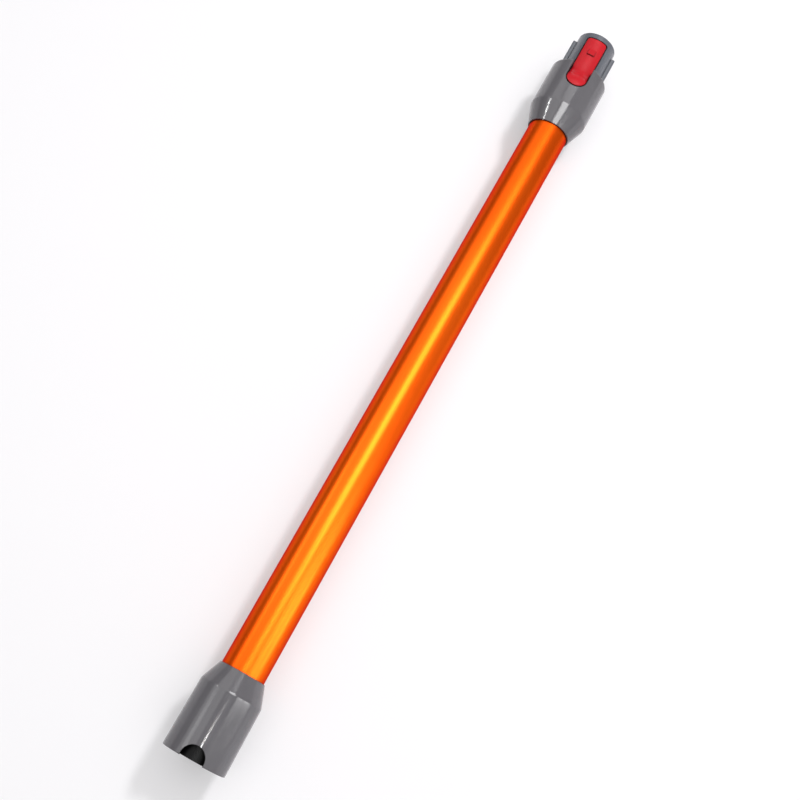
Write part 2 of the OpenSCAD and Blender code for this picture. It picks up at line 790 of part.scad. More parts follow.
module release_button() {
    slope_x0 = spring_x + 3.6;
    slope_x1 = ramp_front_x - 4;
    ear = stub_bed + 0.4;
    ear_out = button_w / 2 + button_gap - ear;
    color("crimson") {
        difference() {
            intersection() {
                linear_extrude(cover_r) button_plan(0, 0);
                union() {
                    ramp_skin();
                    taper(ramp_front_x - 3, button_front_x, nose_r + nose_draft, nose_r + 0.01);
                }
            }
            across(2 * button_w) polygon([[0, 0], [wand_len, 0], [wand_len, plate_under],
                [slope_x1, plate_under], [slope_x0, rear_under], [0, rear_under]]);
        }
        // Latch tooth: a ramp towards the tip, a steep face towards the shoulder
        across(tooth_w) polygon([[shoulder_x + tooth_reach, nose_r - 1],
            [shoulder_x + tooth_reach, nose_r + tooth_h], [shoulder_x + tooth_reach + 1, nose_r + tooth_h],
            [shoulder_x + tooth_reach + 6.5, nose_r - 0.2], [shoulder_x + tooth_reach + 6.5, nose_r - 1]]);
        // Ears and stubs of the pivot
        for (side = [-1, 1]) scale([1, side, 1]) translate([pivot_x, 0, pivot_z]) rotate([-90, 0, 0]) {
            translate([0, 0, ear_out - 2.4]) cylinder(h = 2.4, r = 1.7);
            translate([0, 0, ear_out - 1]) cylinder(h = stub_half - ear_out + 1, r = pivot_r);
        }
        for (side = [-1, 1]) scale([1, side, 1])
            block([pivot_x - 1.7, ear_out - 2.4, pivot_z], [pivot_x + 1.7, ear_out, plate_under + 0.5]);
        // Tail under the edge of the collar, which stops the button as it rises
        block([button_rear_x - tail_lip, -tail_half, tail_top - 1.5], [tail_foot_x, tail_half, tail_top]);
        block([tail_foot_x - cut, -tail_half, rear_under + 0.1], [tail_foot_x + 2, tail_half, tail_top]);
        translate([spring_x, 0, rear_under - boss_h]) cylinder(h = boss_h + 0.5, r = boss_r);
    }
}

// The tail's thick end stays behind the spring
tail_foot_x = spring_x - spring_r - spring_wire - 0.45;
tail_half = 5;
tail_top = sqrt(cover_in_r ^ 2 - tail_half ^ 2) - 0.35;

// Compression spring: a wire of radius spring_wire swept along a helix
spring_turns = 3.5;
module button_spring() {
    rings = 63;
    sides = 6;
    low = pad_top + spring_wire + 0.02;
    rise = rear_under - pad_top - 2 * spring_wire - 0.04;
    function at(i) = let (t = i / (rings - 1), a = 360 * spring_turns * t)
        [for (k = [0 : sides - 1]) let (b = 360 * k / sides, r = spring_r + spring_wire * cos(b))
            [spring_x + r * cos(a), r * sin(a), low + rise * t + spring_wire * sin(b)]];
    color(metal) polyhedron(
        points = [for (i = [0 : rings - 1]) each at(i)],
        faces = [[for (k = [0 : sides - 1]) k],
            for (i = [0 : rings - 2], k = [0 : sides - 1]) let (n = (k + 1) % sides)
                [i * sides + k, (i + 1) * sides + k, (i + 1) * sides + n, i * sides + n],
            [for (k = [sides - 1 : -1 : 0]) (rings - 1) * sides + k]]);
}

outer_tube();
wire_cover();
lead_left();
lead_right();
lower_sleeve();
socket_liner();
socket_seal();
lower_gasket();
lower_screws();
contact_receptacle();
contact_clip_left();
contact_clip_right();
upper_collar();
nose_connector();
upper_gasket();
upper_screws();
release_button();
button_spring();
pin_carrier();
contact_pin_left();
contact_pin_right();
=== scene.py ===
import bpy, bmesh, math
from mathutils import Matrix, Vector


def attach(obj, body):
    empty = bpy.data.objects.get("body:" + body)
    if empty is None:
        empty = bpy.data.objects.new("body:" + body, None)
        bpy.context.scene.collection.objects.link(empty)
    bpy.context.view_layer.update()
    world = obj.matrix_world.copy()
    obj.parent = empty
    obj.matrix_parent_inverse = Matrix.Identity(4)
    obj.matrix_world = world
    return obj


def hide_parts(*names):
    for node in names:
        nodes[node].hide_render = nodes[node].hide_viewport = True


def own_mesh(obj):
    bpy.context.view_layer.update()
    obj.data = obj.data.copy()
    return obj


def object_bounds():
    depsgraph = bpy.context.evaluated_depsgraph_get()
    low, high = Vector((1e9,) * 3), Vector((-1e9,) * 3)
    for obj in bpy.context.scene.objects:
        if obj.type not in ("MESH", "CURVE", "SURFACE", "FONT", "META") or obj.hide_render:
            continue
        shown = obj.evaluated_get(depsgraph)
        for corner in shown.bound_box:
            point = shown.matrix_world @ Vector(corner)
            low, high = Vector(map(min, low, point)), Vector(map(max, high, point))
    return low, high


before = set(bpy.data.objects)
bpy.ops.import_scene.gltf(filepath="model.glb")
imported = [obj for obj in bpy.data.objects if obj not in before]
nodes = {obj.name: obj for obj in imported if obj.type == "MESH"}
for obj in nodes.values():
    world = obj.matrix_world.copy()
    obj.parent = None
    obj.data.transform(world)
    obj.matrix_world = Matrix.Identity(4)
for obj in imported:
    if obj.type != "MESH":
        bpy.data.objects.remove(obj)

# %% [markdown]
# # A vacuum extension wand
# The wand is an orange anodised tube with a grey moulded cover at each end. The lower end is an
# open socket with a black liner; the upper end is a nose with a long red release button.
# The CAD model arrives as a fixed frame: each of its nodes is an object in metres, with X along
# the airway from the socket's rim (0) to the tip of the nose, and Z up, out of the button.
# What Blender adds is what the eye reads: eased edges, wound and turned small parts, finishes.

cad_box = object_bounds()
scene = bpy.context.scene
print("nodes", len(nodes), "box", [round(v, 4) for corner in cad_box for v in corner])

# %% [markdown]
# ## The camera
# The picture was taken from almost straight above the lower end, so the wand runs away from the
# camera and its upper end looks smaller. The place and turns of this camera were worked out once
# by matching the rim, the two creases, the shoulder and the tip of the nose, so they are plain
# numbers. The whole camera is then tipped two degrees about the wand, because the notch and the
# button sit a little to one side of the middle in the picture.

# %% Camera
SENSOR_WIDTH, LENS = 36, 52.445
CAMERA_PLACE = Vector((0.046588, -0.038805, 0.942255))
TURN_X, TURN_Y, TURN_Z, TIP = (math.radians(a) for a in (15.792, -6.1975, -61.7559, 2.0))

camera = bpy.data.cameras.new("camera")
camera.sensor_width = SENSOR_WIDTH
camera.lens = LENS
camera_object = bpy.data.objects.new("camera", camera)
scene.collection.objects.link(camera_object)
turns = (Matrix.Rotation(TURN_Z, 3, "Z") @ Matrix.Rotation(TURN_Y, 3, "Y")
         @ Matrix.Rotation(TURN_X, 3, "X"))
fitted = Matrix.LocRotScale(CAMERA_PLACE, turns, None)
camera_object.matrix_world = Matrix.Rotation(TIP, 4, "X") @ fitted
scene.camera = camera_object
print("camera at", [round(v, 4) for v in camera_object.matrix_world.translation])

# %% [markdown]
# ## Helpers for the finishes
# Every finish here is a Principled shader with a few noise textures. They all read Object
# coordinates: the wand's own metres. A noise of scale 400 therefore has grains of 2.5 mm, and a
# Mapping node with a small X scale stretches the grain along the wand, as drawing or polishing
# does. The Bevel node finds the edges of a shape, and Ambient Occlusion finds its nooks.

# %% Finish helpers
COLOUR_A, COLOUR_B, COLOUR_OUT = 6, 7, 2    # where a Mix node keeps its colour sockets
EDGE_SAMPLES, NOOK_SAMPLES = 4, 8
OPEN_NOISE = (0.3, 0.7)                     # most of a noise lies between these


def colour(red, green, blue):
    """A colour given as the eye picks it, 0 to 255, as the linear value a shader wants."""
    def linear(c):
        c = c / 255
        return c / 12.92 if c <= 0.04045 else ((c + 0.055) / 1.055) ** 2.4
    return (linear(red), linear(green), linear(blue), 1.0)


def scaled(base, factor):
    """The same colour, lighter or darker by factor."""
    return tuple(min(1.0, c * factor) for c in base[:3]) + (1.0,)


class Finish:
    """A new material with its Principled shader, and short ways to add nodes to it."""

    def __init__(self, name):
        self.material = bpy.data.materials.new(name)
        self.material.use_nodes = True
        self.nodes = self.material.node_tree.nodes
        self.link = self.material.node_tree.links.new
        self.shader = self.nodes["Principled BSDF"]
        self.place = self.nodes.new("ShaderNodeTexCoord").outputs["Object"]

    def set(self, **values):
        for socket, value in values.items():
            self.shader.inputs[socket.replace("_", " ")].default_value = value

    def feed(self, socket, value):
        """Puts a number, a colour or another node's output into a socket."""
        if isinstance(value, (int, float, tuple)):
            socket.default_value = value
        else:
            self.link(value, socket)

    def noise(self, scale, stretch=(1, 1, 1), detail=2.0):
        mapping = self.nodes.new("ShaderNodeMapping")
        mapping.inputs["Scale"].default_value = stretch
        texture = self.nodes.new("ShaderNodeTexNoise")
        texture.inputs["Scale"].default_value = scale
        texture.inputs["Detail"].default_value = detail
        self.link(self.place, mapping.inputs["Vector"])
        self.link(mapping.outputs["Vector"], texture.inputs["Vector"])
        return texture.outputs["Fac"]

    def spread(self, value, low, high, start=OPEN_NOISE[0], end=OPEN_NOISE[1]):
        """Turns a value that mostly lies between start and end into low to high."""
        node = self.nodes.new("ShaderNodeMapRange")
        for socket, number in (("From Min", start), ("From Max", end),
                               ("To Min", low), ("To Max", high)):
            node.inputs[socket].default_value = number
        self.link(value, node.inputs["Value"])
        return node.outputs["Result"]

    def maths(self, operation, first, second):
        node = self.nodes.new("ShaderNodeMath")
        node.operation = operation
        self.feed(node.inputs[0], first)
        self.feed(node.inputs[1], second)
        return node.outputs["Value"]

    def mix(self, factor, first, second):
        node = self.nodes.new("ShaderNodeMix")
        node.data_type = "RGBA"
        self.link(factor, node.inputs["Factor"])
        self.feed(node.inputs[COLOUR_A], first)
        self.feed(node.inputs[COLOUR_B], second)
        return node.outputs[COLOUR_OUT]

    def bump(self, height, depth, before=None):
        """Raises the surface by depth metres where height is 1; before is an earlier bump."""
        node = self.nodes.new("ShaderNodeBump")
        node.inputs["Distance"].default_value = depth
        self.link(height, node.inputs["Height"])
        if before:
            self.link(before, node.inputs["Normal"])
        return node.outputs["Normal"]

    def edges(self, radius, full=0.75, none=0.98):
        """1 on an outer or inner edge within radius metres, 0 on the open surface."""
        rounded = self.nodes.new("ShaderNodeBevel")
        rounded.samples = EDGE_SAMPLES
        rounded.inputs["Radius"].default_value = radius
        plain = self.nodes.new("ShaderNodeNewGeometry")
        dot = self.nodes.new("ShaderNodeVectorMath")
        dot.operation = "DOT_PRODUCT"
        self.link(rounded.outputs["Normal"], dot.inputs[0])
        self.link(plain.outputs["Normal"], dot.inputs[1])
        return self.spread(dot.outputs["Value"], 1.0, 0.0, full, none)

    def painted_nook_shade(self, reach, depth):
        """Painted shade: 1 on the open surface, less by depth where a surface is nearer than
        reach metres.
        """
        shade = self.nodes.new("ShaderNodeAmbientOcclusion")
        shade.samples = NOOK_SAMPLES
        shade.inputs["Distance"].default_value = reach
        return self.spread(shade.outputs["AO"], 1 - depth, 1.0, 0.35, 0.9)

    def dim(self, value, shaded):
        """Multiplies a colour by a plain value."""
        node = self.nodes.new("ShaderNodeVectorMath")
        node.operation = "SCALE"
        self.link(value, node.inputs[0])
        self.link(shaded, node.inputs["Scale"])
        return node.outputs["Vector"]

    def to(self, socket, value):
        self.link(value, self.shader.inputs[socket])


print("a mid grey is", round(colour(128, 128, 128)[0], 3), "to a shader")

# %% [markdown]
# ## Anodised tube
# The tube is drawn aluminium, etched until it is satin and then dyed orange in its oxide skin.
# So it is a metal whose reflection is orange, with a soft highlight. Faint lines run along it
# from the drawing. They are a noise stretched two hundred times in X, which drives the roughness
# and a bump of a few thousandths of a millimetre. A slow second noise lets the dye be a little
# deeper in places.

# %% Anodised finish
MM = 0.001
DEEP_DYE, BRIGHT_DYE, STREAK = colour(231, 84, 6), colour(231, 93, 11), colour(213, 71, 5)

tube_skin = Finish("orange anodised aluminium")
tube_skin.set(Metallic=1.0, Specular_Tint=colour(196, 112, 70), Coat_Weight=0.06,
              Coat_Roughness=0.3)
drawn = tube_skin.noise(1500, (0.005, 1, 1), 3)
cloudy = tube_skin.noise(25, (0.3, 1, 1))
etched = tube_skin.noise(6000, detail=1)
dye = tube_skin.mix(tube_skin.spread(cloudy, 0, 1), DEEP_DYE, BRIGHT_DYE)
streaked = tube_skin.mix(tube_skin.spread(drawn, 0, 0.25), dye, STREAK)
# Painted shade: the dyed colour is darker where another surface is within 6 mm, as where the tube
# goes into the covers.
tube_skin.to("Base Color", tube_skin.dim(streaked, tube_skin.painted_nook_shade(6 * MM, 0.85)))
tube_skin.to("Roughness", tube_skin.spread(drawn, 0.31, 0.37))
tube_skin.to("Normal", tube_skin.bump(etched, 0.004 * MM, tube_skin.bump(drawn, 0.006 * MM)))
finishes = {"orange_anodised": tube_skin.material}
print("anodised nodes", len(tube_skin.nodes))

# %% [markdown]
# ## Moulded plastics
# The grey covers, the nose, the red button and the black liner are all moulded ABS: a smooth,
# half glossy skin that is never quite flat. One function makes them all. A slow noise moves the
# colour a little, as the plastic flowed into its mould; a finer one gives the orange-peel ripple
# that breaks up a reflection; fine rubbed lines are a touch lighter, where hands and fittings
# have polished them. Along the edges of the grey and red mouldings the colour is painted darker:
# this is painted shade. In the folds and nooks of every moulding the colour is painted darker
# too, as painted shade. On the black liner the edges are a little lighter.

# %% Moulded finish
FLOW, PEEL, RUB = (60, (0.35, 1, 1), 3), (900, (0.6, 1, 1), 2), (3200, (0.03, 1, 1), 2)
# Painted shade: the narrow edge band that is painted darker on the grey and red mouldings
SHADED_EDGE = (0.93, 0.998)
RUB_BUMP = 0.0015 * MM


def moulded(name, base, low_gloss, high_gloss, rubbed=1.25, ripple=0.010, shine=0.5,
            rim=0.35, edge_shade=0.0):
    """rubbed lightens the rub marks by that factor, and the edges too where edge_shade is 0.
    edge_shade is painted shade: it darkens a band of rim millimetres along the edges by that
    share. ripple is in mm."""
    skin = Finish(name)
    skin.set(Specular_IOR_Level=shine)
    flow, peel, rub = (skin.noise(*grain) for grain in (FLOW, PEEL, RUB))
    body = skin.mix(skin.spread(flow, 0, 1), scaled(base, 0.90), base)
    # With a share of edge shade, this edge band is painted shade, darker; without it, the band is
    # wear, lighter.
    edge = skin.edges(rim * MM, *SHADED_EDGE) if edge_shade else skin.edges(rim * MM)
    edge_wear_and_shade = skin.maths("MULTIPLY", edge, skin.spread(peel, 0.55, 1.0))
    streaks = skin.spread(rub, 0, 0.18, 0.60, 0.75)
    if edge_shade:
        rubbed_body = skin.mix(streaks, body, scaled(base, rubbed))
        body_with_wear_and_shade = skin.mix(edge_wear_and_shade, rubbed_body, scaled(base, 1 - edge_shade))
    else:
        body_with_wear_and_shade = skin.mix(skin.maths("MAXIMUM", edge_wear_and_shade, streaks), body, scaled(base, rubbed))
    # Painted shade: the colour is darker in nooks, where Ambient Occlusion finds a surface near.
    skin.to("Base Color", skin.dim(body_with_wear_and_shade, skin.painted_nook_shade(2.5 * MM, 0.75)))
    skin.to("Roughness", skin.maths("ADD", skin.spread(flow, low_gloss, high_gloss),
                                    skin.spread(rub, 0, 0.07, 0.55, 0.75)))
    skin.to("Normal", skin.bump(rub, RUB_BUMP, skin.bump(peel, ripple * MM)))
    return skin.material


finishes["grey_housing"] = moulded("grey housing", colour(101, 99, 103), 0.11, 0.17,
                                   rim=1.0, edge_shade=0.5)
finishes["grey_inner"] = moulded("grey nose", colour(97, 100, 108), 0.20, 0.27,
                                 rim=1.1, edge_shade=0.75)
finishes["red_plastic"] = moulded("red button", colour(198, 18, 32), 0.30, 0.38,
                                  rubbed=1.2, ripple=0.006, shine=0.28, rim=1.2, edge_shade=0.6)
# The liner's black is darker than black plastic is, so that the inside of the socket shows as
# deep shade: partly its own black, partly painted shade.
finishes["black_plastic"] = moulded("black liner", colour(4, 4, 5), 0.34, 0.44,
                                    rubbed=1.8, shine=0.15)
print("finishes so far", sorted(finishes))

# %% [markdown]
# ## Rubber, steel, contacts and leads
# The small parts show only when the wand is turned over or looked into. The seal and gaskets are
# moulded rubber, matt and slightly dusty. The screws and the spring are bright zinc plated steel
# with fine turning marks, the contacts are gold plated, and the leads have soft coloured
# insulation.

# %% Small parts' finishes
RUBBER, DUST = colour(22, 22, 23), colour(70, 68, 66)
ZINC, DULL_ZINC = colour(196, 198, 202), colour(150, 148, 142)
GOLD, DULL_GOLD = colour(232, 196, 120), colour(188, 150, 88)


def rubber():
    skin = Finish("black rubber")
    grain = skin.noise(2600, detail=3)
    dust = skin.noise(180, detail=4)
    skin.to("Base Color", skin.mix(skin.spread(dust, 0, 0.5, 0.5, 0.8), RUBBER, DUST))
    skin.to("Roughness", skin.spread(grain, 0.62, 0.82))
    skin.to("Normal", skin.bump(grain, 0.012 * MM))
    return skin.material


def bright_metal(name, base, tarnish, low, high):
    skin = Finish(name)
    skin.set(Metallic=1.0)
    turned = skin.noise(2400, (1, 0.25, 0.25), 2)
    stain = skin.noise(320, detail=3)
    skin.to("Base Color", skin.mix(skin.spread(stain, 0, 0.6, 0.45, 0.75), base, tarnish))
    skin.to("Roughness", skin.spread(turned, low, high))
    skin.to("Normal", skin.bump(turned, 0.004 * MM))
    return skin.material


def insulation(name, base):
    skin = Finish(name)
    waxy = skin.noise(500, (0.2, 1, 1), 2)
    skin.to("Base Color", skin.mix(skin.spread(waxy, 0, 1), scaled(base, 0.85), base))
    skin.to("Roughness", skin.spread(waxy, 0.38, 0.52))
    skin.to("Normal", skin.bump(waxy, 0.01 * MM))
    return skin.material


finishes["black_rubber"] = rubber()
finishes["steel"] = bright_metal("zinc plated steel", ZINC, DULL_ZINC, 0.22, 0.36)
finishes["contact_metal"] = bright_metal("gold plated brass", GOLD, DULL_GOLD, 0.16, 0.28)
finishes["lead_red"] = insulation("red insulation", colour(170, 24, 24))
finishes["lead_black"] = insulation("black insulation", colour(24, 24, 26))
print("finishes", sorted(finishes))

# %% [markdown]
# ## Dress the CAD nodes
# Each CAD node arrives with one material that is named after its slot in the record. The node's
# shape is not touched; only its material slot gets the new finish.

# %% Finish on every node
slot_of = {}
for name, node in nodes.items():
    for material_slot in node.material_slots:
        slot_of[name] = material_slot.material.name.split(".")[0]
        material_slot.material = finishes[slot_of[name]]
used = list(slot_of.values())
print({slot: used.count(slot) for slot in sorted(set(used))})

# %% [markdown]
# ## Ease the edges of the mouldings
# A mould can't cut a perfectly sharp edge, and a sharp edge in a picture looks false, because it
# has no highlight. The CAD nodes are loose triangles, so a copy is first welded into one skin.
# Flat and straight runs of triangles are dissolved, and faces with more than four corners are
# cut into triangles again, so that faces with holes stay sound. Points that crowd on the sharp
# edges are merged so that the bevel has room. They are taken in the order of their places,
# because a set has no order of its own, and each run would merge others. Then the sharp edges get
# a bevel in two steps: less than a fifth of a millimetre, and 0.35 mm on the button. Weighted
# normals keep the large faces flat in shading and let only the narrow bevels turn.
# The outline of the button's shell is drawn in by 0.42 mm, because the dark line round the real
# button is wider than the working clearance. Its pivot stubs and its tooth stay where they are,
# and so does the underside of its tail, which has to clear the spring.

# %% Eased copies
WELD = 0.002 * MM
CROWD = 0.3 * MM
FLAT = math.radians(0.6)
EDGE_ANGLE = math.radians(32)
COVER_EDGE, BLOCK_EDGE, THIN_EDGE, BUTTON_EDGE = 0.18 * MM, 0.16 * MM, 0.12 * MM, 0.35 * MM
DRAW_IN, FADE = 0.42 * MM, 6 * MM
SKIN_Z = 14.5 * MM                          # the button's shell lies above this,
TAIL_X, TAIL_Z = 672 * MM, 23.5 * MM        # and above this behind TAIL_X


def finish_piece(mesh, name, body, slot, *replaced):
    """Puts a bmesh into the scene as a piece that rides on a body and stands for CAD nodes."""
    data = bpy.data.meshes.new(name)
    mesh.to_mesh(data)
    mesh.free()
    for polygon in data.polygons:
        polygon.use_smooth = True
    data.materials.append(finishes[slot])
    piece = bpy.data.objects.new(name, data)
    scene.collection.objects.link(piece)
    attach(piece, body)
    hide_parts(*replaced)
    return piece


def weight_normals(piece):
    modifier = piece.modifiers.new("weighted normals", "WEIGHTED_NORMAL")
    modifier.keep_sharp = False
    modifier.weight = 50
    return piece


def sharp_edges(mesh):
    return [e for e in mesh.edges if e.is_manifold and e.calc_face_angle(0) > EDGE_ANGLE]


def soften(mesh, radius, segments=3):
    """Bevels every sharp edge of a mesh."""
    bmesh.ops.bevel(mesh, geom=sharp_edges(mesh), offset=radius, offset_type="OFFSET",
                    segments=segments, profile=0.5, affect="EDGES", clamp_overlap=True,
                    material=-1)
    return mesh


def draw_outline_in(mesh, amount):
    """Moves the outline inwards, seen from above: by amount at its edge, by none FADE inside."""
    low, high = (Vector(pick(v.co[axis] for v in mesh.verts) for axis in range(3))
                 for pick in (min, max))
    middle, half = (low + high) / 2, (high - low) / 2
    for vert in mesh.verts:
        if vert.co.z > (TAIL_Z if vert.co.x < TAIL_X else SKIN_Z):
            for axis in (0, 1):
                out = vert.co[axis] - middle[axis]
                share = max(0.0, (abs(out) - half[axis] + FADE) / FADE)
                vert.co[axis] -= math.copysign(amount * share, out)


def eased(name, new_name, radius, body="wand", draw_in=0.0):
    """A copy of a CAD node with soft edges, which stands for the node."""
    mesh = bmesh.new()
    mesh.from_mesh(nodes[name].data)
    bmesh.ops.remove_doubles(mesh, verts=mesh.verts, dist=WELD)
    if draw_in:
        draw_outline_in(mesh, draw_in)
    bmesh.ops.dissolve_limit(mesh, angle_limit=FLAT, verts=mesh.verts, edges=mesh.edges)
    bmesh.ops.triangulate(mesh, faces=[f for f in mesh.faces if len(f.verts) > 4],
                          quad_method="BEAUTY", ngon_method="BEAUTY")
    crowded = {v for e in sharp_edges(mesh) for v in e.verts}
    by_place = sorted(crowded, key=lambda v: tuple(v.co))
    bmesh.ops.remove_doubles(mesh, verts=by_place, dist=CROWD)
    bmesh.ops.dissolve_degenerate(mesh, edges=mesh.edges, dist=WELD)
    soften(mesh, radius, 2)
    loose = sum(1 for e in mesh.edges if not e.is_manifold)
    print(new_name, "faces", len(mesh.faces), "open edges", loose)
    return weight_normals(finish_piece(mesh, new_name, body, slot_of[name], name))


eased("lower_sleeve", "sleeve_eased", COVER_EDGE)
eased("upper_collar", "collar_eased", COVER_EDGE)
eased("nose_connector", "nose_eased", BLOCK_EDGE)
eased("socket_liner", "liner_eased", COVER_EDGE)
eased("release_button", "button_eased", BUTTON_EDGE, "button", DRAW_IN)
eased("contact_receptacle", "receptacle_eased", BLOCK_EDGE)
eased("pin_carrier", "carrier_eased", BLOCK_EDGE)
eased("outer_tube", "tube_eased", THIN_EDGE)
eased("wire_cover", "wire_cover_eased", THIN_EDGE)

# %% [markdown]
# ## Seal and gaskets
# The ring that the next part's nose presses on is moulded rubber with a thin lip that leans into
# the socket. The two gaskets at the ends of the tube are plain rings with soft corners. All
# three are round, so their cross-sections are spun about the wand's axis. The spin is closed by
# merging its last ring with the first, and then the sharp rims are softened.

# %% Round parts
RING_STEPS = 128
LAST_WELD = 0.0005 * MM
SEAL = [(42.4, 17.0), (42.4, 19.35), (40.6, 19.35), (40.6, 18.6), (41.5, 18.2), (41.35, 17.7),
        (40.62, 17.0), (40.95, 16.9), (41.9, 17.0)]
GASKETS = (("lower_gasket", 44.2, 45.4), ("upper_gasket", 656.5, 657.7))
GASKET_IN, GASKET_OUT = 16.8, 18.77


def lathe(profile, steps, height=0.0, side=0.0):
    """Spins (x, r) points, in mm, about a line along X. A profile off the axis is a loop."""
    mesh = bmesh.new()
    points = [mesh.verts.new((x * MM, side * MM, (height + r) * MM)) for x, r in profile]
    lines = [mesh.edges.new(pair) for pair in zip(points, points[1:])]
    if min(r for x, r in profile) > 0:
        lines.append(mesh.edges.new((points[-1], points[0])))
    bmesh.ops.spin(mesh, geom=points + lines, cent=(0, side * MM, height * MM), axis=(1, 0, 0),
                   dvec=(0, 0, 0), angle=math.tau, steps=steps, use_merge=True)
    bmesh.ops.remove_doubles(mesh, verts=mesh.verts, dist=LAST_WELD)
    bmesh.ops.recalc_face_normals(mesh, faces=mesh.faces)
    return mesh


def report(piece):
    axes = zip(*(v.co for v in piece.data.vertices))
    spans = [(round(min(axis) / MM, 2), round(max(axis) / MM, 2)) for axis in axes]
    print(piece.name, "faces", len(piece.data.polygons), "spans", spans)


seal = soften(lathe(SEAL, RING_STEPS), 0.12 * MM)
report(weight_normals(finish_piece(seal, "seal_with_lip", "wand", "black_rubber",
                                   "socket_seal")))
for gasket, x0, x1 in GASKETS:
    ring = lathe([(x1, GASKET_IN), (x1, GASKET_OUT), (x0, GASKET_OUT), (x0, GASKET_IN)],
                 RING_STEPS)
    report(weight_normals(finish_piece(soften(ring, 0.3 * MM), gasket + "_soft", "wand",
                                       "black_rubber", gasket)))

# %% [markdown]
# ## Contact pins and clips
# The pins under the nose are turned brass with a gold flash. Each has a crimped tail for its
# lead, a thick foot that sits in the black carrier, and a rounded tip that finds its way into a
# clip. The clips in the socket are drawn sleeves with a rolled mouth and a waist. Both are spun
# about their own axis, 5.4 mm to each side, and they are the same left and right.

# %% Contacts
CONTACT_STEPS, CONTACT_Z, CONTACT_SIDE = 40, -26.2, 5.4
PIN = [(670.5, 0), (670.5, 1.3), (671.5, 1.3), (671.7, 1.1), (672.2, 1.1), (672.4, 1.3),
       (673.1, 1.3), (673.3, 1.1), (673.8, 1.1), (674.0, 1.3), (674.5, 1.3), (674.5, 1.6),
       (676.5, 1.6), (676.7, 1.4), (677.3, 1.4), (677.5, 1.6), (700.0, 1.6), (700.0, 1.2),
       (708.6, 1.2), (709.0, 1.12), (709.35, 0.95), (709.6, 0.72), (709.75, 0.4), (709.8, 0)]
CLIP = [(24.4, 0), (24.4, 1.3), (19.2, 1.3), (18.4, 1.24), (16.2, 1.24), (15.4, 1.3),
        (14.2, 1.3), (13.7, 1.4), (13.42, 1.6), (13.4, 1.72), (13.5, 1.83), (13.7, 1.85),
        (15.2, 1.85), (15.8, 1.7), (18.8, 1.7), (19.4, 1.85), (26.0, 1.85), (26.3, 1.5),
        (27.2, 1.5), (27.4, 1.3), (27.9, 1.3), (28.1, 1.5), (28.8, 1.5), (29.0, 1.3),
        (29.5, 1.3), (29.7, 1.5), (30.5, 1.5), (30.5, 0)]

for hand, side in (("left", CONTACT_SIDE), ("right", -CONTACT_SIDE)):
    for part, profile in (("pin", PIN), ("clip", CLIP)):
        contact = soften(lathe(profile, CONTACT_STEPS, CONTACT_Z, side), 0.06 * MM, 2)
        report(weight_normals(finish_piece(contact, "turned_%s_%s" % (part, hand), "wand",
                                           "contact_metal", "contact_%s_%s" % (part, hand))))

# %% [markdown]
# ## Button spring
# A small compression spring of half-millimetre wire stands between the air duct and the button's
# tail. A real one is coiled with its first and last half turn nearly closed, so that it stands
# flat. So the wire's round section is spun three times about the spring's axis: a slow climb,
# the open coils, and a slow climb again. Then the two cut ends are filled. When the button is
# pressed, its tail comes down 3.6 mm. The spring is wound wide enough for the button's boss,
# which swings back 0.6 mm inside it.

# %% Spring
SPRING_X, COIL_R, WIRE_R = 668.08, 2.95, 0.25
SPRING_LOW, SPRING_RISE, END_RISE = 18.075, 5.03, 0.28
END_TURNS, OPEN_TURNS = 0.5, 2.5
WIRE_SIDES, STEPS_A_TURN = 12, 40

coil = bmesh.new()
bmesh.ops.create_circle(coil, cap_ends=False, segments=WIRE_SIDES, radius=WIRE_R * MM,
                        matrix=Matrix.Translation(Vector((SPRING_X + COIL_R, 0, SPRING_LOW)) * MM)
                        @ Matrix.Rotation(math.radians(90), 4, "X"))
section = coil.verts[:] + coil.edges[:]
for coils, climb in ((END_TURNS, END_RISE), (OPEN_TURNS, SPRING_RISE - 2 * END_RISE),
                     (END_TURNS, END_RISE)):
    steps = round(STEPS_A_TURN * coils)
    swept = bmesh.ops.spin(coil, geom=section, cent=(SPRING_X * MM, 0, 0), axis=(0, 0, 1),
                           dvec=(0, 0, climb * MM / steps), angle=math.tau * coils,
                           steps=steps)
    section = swept["geom_last"]
bmesh.ops.remove_doubles(coil, verts=coil.verts, dist=LAST_WELD)
bmesh.ops.holes_fill(coil, edges=[e for e in coil.edges if e.is_boundary], sides=0)
bmesh.ops.recalc_face_normals(coil, faces=coil.faces)
spring = finish_piece(coil, "wound_spring", "wand", "steel", "button_spring")
report(spring)
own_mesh(spring)

# %% [markdown]
# ## Screws
# Two self-tapping screws at each end go through the grip of the moulding into the tube. They
# have a low domed head with a six-lobed recess, and a coarse thread. The body is spun about the
# screw's own axis; the lobes are made by moving the recess rings' points in and out with the
# cosine of six times their angle. The thread is a row of rings, since nobody sees its climb.

# %% Screws
SCREW_STEPS = 48
SCREWS = (("lower_screws", 54.6), ("upper_screws", 647.5))
SCREW = [(16.8, 0), (16.8, 0.7), (17.0, 0.95), (17.2, 0.95), (17.4, 0.7), (17.7, 0.7),
         (17.9, 0.95), (18.1, 0.95), (18.3, 0.7), (18.6, 0.7), (18.8, 0.95), (19.0, 0.95),
         (19.2, 0.75), (20.2, 0.75), (20.2, 1.9), (20.7, 1.9), (21.0, 1.75), (21.2, 1.45),
         (21.3, 1.0), (21.3, 0.8), (20.6, 0.75), (20.55, 0)]
RECESS_FROM, RECESS_RINGS, RING_MATCH = 20.5, (0.8, 0.75), 0.01
LOBES, LOBE_DEPTH = 6, 0.16

